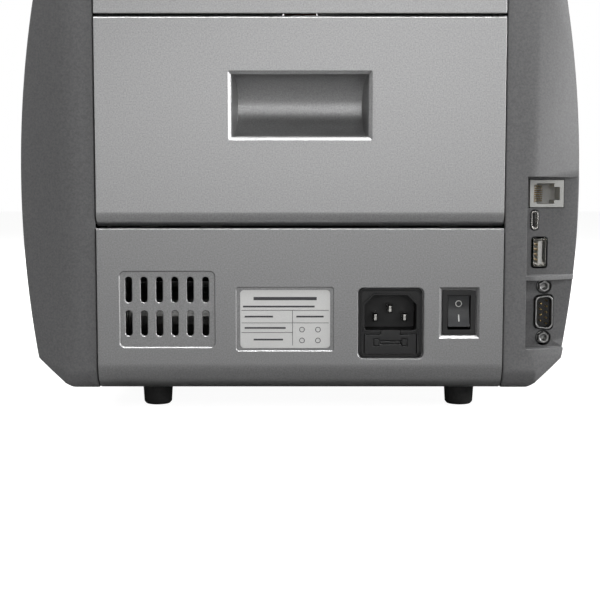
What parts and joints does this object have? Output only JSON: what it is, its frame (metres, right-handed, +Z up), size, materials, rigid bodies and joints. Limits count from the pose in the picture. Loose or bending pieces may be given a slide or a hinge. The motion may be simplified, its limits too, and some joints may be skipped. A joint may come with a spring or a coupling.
{
  "type": "banknote counting machine",
  "caption": "Desktop banknote counter: sloping hopper on top, front stacker pocket, colour display with keys, hinged rear door, mains inlet, rocker switch and data ports.",
  "frame": {"origin": "on the desk, under the middle of the machine's outer box", "axes": "+X to the user's right as the user faces the display, +Y to the rear panel and its sockets, +Z up"},
  "size_m": [0.2678, 0.26, 0.2569],
  "materials": {
    "silver_plastic": "fine metallic paint on moulded ABS",
    "dark_plastic": "fine-textured dark grey moulded ABS",
    "black_plastic": "black moulded plastic",
    "port_plastic": "light grey connector housing",
    "key_plastic": "satin grey keycap",
    "rubber": "soft black rubber",
    "roller_rubber": "matt rubber tyre on a steel shaft",
    "steel": "zinc-plated steel",
    "plated_steel": "nickel-plated steel",
    "circuit_board": "green solder resist",
    "display_glass": "dark display window",
    "white_plastic": "natural white acetal"
  },
  "bodies": {
    "case": {"side_cover_left": "dark_plastic", "side_cover_right": "dark_plastic", "base_tray": "dark_plastic", "chassis_plate_left": "steel", "chassis_plate_right": "steel", "rear_lower_panel": "silver_plastic", "rear_top_cover": "silver_plastic", "front_fascia": "silver_plastic", "front_chin": "silver_plastic", "display_screen": "display_glass", "foot_rear_right": "rubber", "foot_rear_left": "rubber", "foot_front_right": "rubber", "foot_front_left": "rubber", "power_inlet": "black_plastic", "switch_frame": "black_plastic", "modular_jack": "port_plastic", "usb_c_port": "plated_steel", "usb_a_port": "plated_steel", "serial_port": "plated_steel", "main_board": "circuit_board", "power_supply": "circuit_board", "main_motor": "steel", "feed_motor": "steel", "stacker_motor": "steel", "main_belt": "rubber", "feed_belt": "rubber", "inner_guide": "black_plastic", "inner_sensor_bar": "black_plastic", "exit_chute": "black_plastic", "stacker_liner": "black_plastic", "hopper_tray": "black_plastic"},
    "door": {"rear_door": "silver_plastic", "door_guide": "black_plastic", "door_sensor_bar": "black_plastic"},
    "stacker": {"stacker_shaft": "steel", "stacker_wheel_left": "black_plastic", "stacker_wheel_right": "black_plastic"},
    "door_idler_upper": {"door_idler_upper": "white_plastic"},
    "door_idler_lower": {"door_idler_lower": "white_plastic"},
    "upper_drive_roller": {"upper_drive_roller": "roller_rubber"},
    "lower_drive_roller": {"lower_drive_roller": "roller_rubber"},
    "main_motor_pulley": {"main_motor_pulley": "steel"},
    "exit_idler": {"exit_idler": "white_plastic"},
    "feed_roller": {"feed_roller": "roller_rubber"},
    "pickup_roller": {"pickup_roller": "roller_rubber"},
    "feed_motor_pulley": {"feed_motor_pulley": "steel"},
    "retard_roller": {"retard_roller": "roller_rubber"},
    "hopper_guide_left": {"hopper_guide_left": "black_plastic"},
    "hopper_guide_right": {"hopper_guide_right": "black_plastic"},
    "guide_pinion": {"guide_pinion": "white_plastic"},
    "note_support": {"note_support": "black_plastic"},
    "adjust_knob": {"adjust_knob": "black_plastic"},
    "switch_rocker": {"switch_rocker": "black_plastic"},
    "fuse_drawer": {"fuse_drawer": "black_plastic"},
    "key_mode": {"key_mode": "key_plastic"},
    "key_currency": {"key_currency": "key_plastic"},
    "key_start": {"key_start": "key_plastic"},
    "key_batch": {"key_batch": "key_plastic"},
    "key_clear": {"key_clear": "key_plastic"}
  },
  "joints": [
    {"name": "rear_door_hinge", "type": "hinge", "parent": "case", "child": "door", "pos_m": [0, 0.123, 0.0951], "axis": [-1, 0, 0], "range_deg": [0, 80]},
    {"name": "door_idler_upper_spin", "type": "hinge", "parent": "door", "child": "door_idler_upper", "pos_m": [0, 0.1081, 0.146], "axis": [1, 0, 0], "continuous": true},
    {"name": "door_idler_lower_spin", "type": "hinge", "parent": "door", "child": "door_idler_lower", "pos_m": [0, 0.1081, 0.108], "axis": [1, 0, 0], "continuous": true},
    {"name": "lower_drive_spin", "type": "hinge", "parent": "case", "child": "lower_drive_roller", "pos_m": [0, 0.0848, 0.108], "axis": [1, 0, 0], "continuous": true},
    {"name": "upper_drive_spin", "type": "hinge", "parent": "case", "child": "upper_drive_roller", "pos_m": [0, 0.0848, 0.146], "axis": [1, 0, 0], "continuous": true},
    {"name": "main_motor_spin", "type": "hinge", "parent": "case", "child": "main_motor_pulley", "pos_m": [0, 0.03, 0.037], "axis": [1, 0, 0], "continuous": true},
    {"name": "exit_idler_spin", "type": "hinge", "parent": "case", "child": "exit_idler", "pos_m": [0, 0.079, 0.08535], "axis": [1, 0, 0], "continuous": true},
    {"name": "feed_roller_spin", "type": "hinge", "parent": "case", "child": "feed_roller", "pos_m": [0, 0.0745, 0.176], "axis": [1, 0, 0], "continuous": true},
    {"name": "pickup_roller_spin", "type": "hinge", "parent": "case", "child": "pickup_roller", "pos_m": [0, 0.0272, 0.1829], "axis": [1, 0, 0], "continuous": true},
    {"name": "feed_motor_spin", "type": "hinge", "parent": "case", "child": "feed_motor_pulley", "pos_m": [0, 0.022, 0.155], "axis": [1, 0, 0], "continuous": true},
    {"name": "retard_roller_spin", "type": "hinge", "parent": "case", "child": "retard_roller", "pos_m": [0, 0.09216, 0.18791], "axis": [1, 0, 0], "continuous": true},
    {"name": "stacker_spin", "type": "hinge", "parent": "case", "child": "stacker", "pos_m": [0, -0.02, 0.068], "axis": [1, 0, 0], "continuous": true},
    {"name": "hopper_guide_right_slide", "type": "slide", "parent": "case", "child": "hopper_guide_right", "axis": [-1, 0, 0], "range_m": [0, 0.03]},
    {"name": "hopper_guide_left_slide", "type": "slide", "parent": "case", "child": "hopper_guide_left", "axis": [1, 0, 0], "range_m": [0, 0.03]},
    {"name": "guide_pinion_spin", "type": "hinge", "parent": "case", "child": "guide_pinion", "pos_m": [0, -0.012, 0.1935], "axis": [0, 0, 1], "range_deg": [0, 287]},
    {"name": "note_support_hinge", "type": "hinge", "parent": "case", "child": "note_support", "pos_m": [0, 0.111, 0.2246], "axis": [1, 0, 0], "range_deg": [0, 108]},
    {"name": "adjust_knob_turn", "type": "hinge", "parent": "case", "child": "adjust_knob", "pos_m": [0, 0.1195, 0.222], "axis": [0, 0, 1], "range_deg": [0, 270]},
    {"name": "switch_rocker_tilt", "type": "hinge", "parent": "case", "child": "switch_rocker", "pos_m": [-0.0756, 0.1244, 0.0472], "axis": [-1, 0, 0], "range_deg": [0, 18]},
    {"name": "fuse_drawer_slide", "type": "slide", "parent": "case", "child": "fuse_drawer", "axis": [0, 1, 0], "range_m": [0, 0.015]},
    {"name": "key_mode_press", "type": "slide", "parent": "case", "child": "key_mode", "axis": [0, 0.8827, -0.47], "range_m": [0, 0.0012], "stiffness_N_per_m": 700},
    {"name": "key_currency_press", "type": "slide", "parent": "case", "child": "key_currency", "axis": [0, 0.8827, -0.47], "range_m": [0, 0.0012], "stiffness_N_per_m": 700},
    {"name": "key_start_press", "type": "slide", "parent": "case", "child": "key_start", "axis": [0, 0.8827, -0.47], "range_m": [0, 0.0012], "stiffness_N_per_m": 700},
    {"name": "key_batch_press", "type": "slide", "parent": "case", "child": "key_batch", "axis": [0, 0.8827, -0.47], "range_m": [0, 0.0012], "stiffness_N_per_m": 700},
    {"name": "key_clear_press", "type": "slide", "parent": "case", "child": "key_clear", "axis": [0, 0.8827, -0.47], "range_m": [0, 0.0012], "stiffness_N_per_m": 700}
  ],
  "couplings": [
    {"joint": "upper_drive_spin", "follows": "lower_drive_spin", "ratio": 1},
    {"joint": "main_motor_spin", "follows": "lower_drive_spin", "ratio": 1.5},
    {"joint": "pickup_roller_spin", "follows": "feed_roller_spin", "ratio": 1},
    {"joint": "feed_motor_spin", "follows": "feed_roller_spin", "ratio": 1.25},
    {"joint": "hopper_guide_left_slide", "follows": "hopper_guide_right_slide", "ratio": 1},
    {"joint": "guide_pinion_spin", "follows": "hopper_guide_right_slide", "rad_per_m": 166.67}
  ]
}
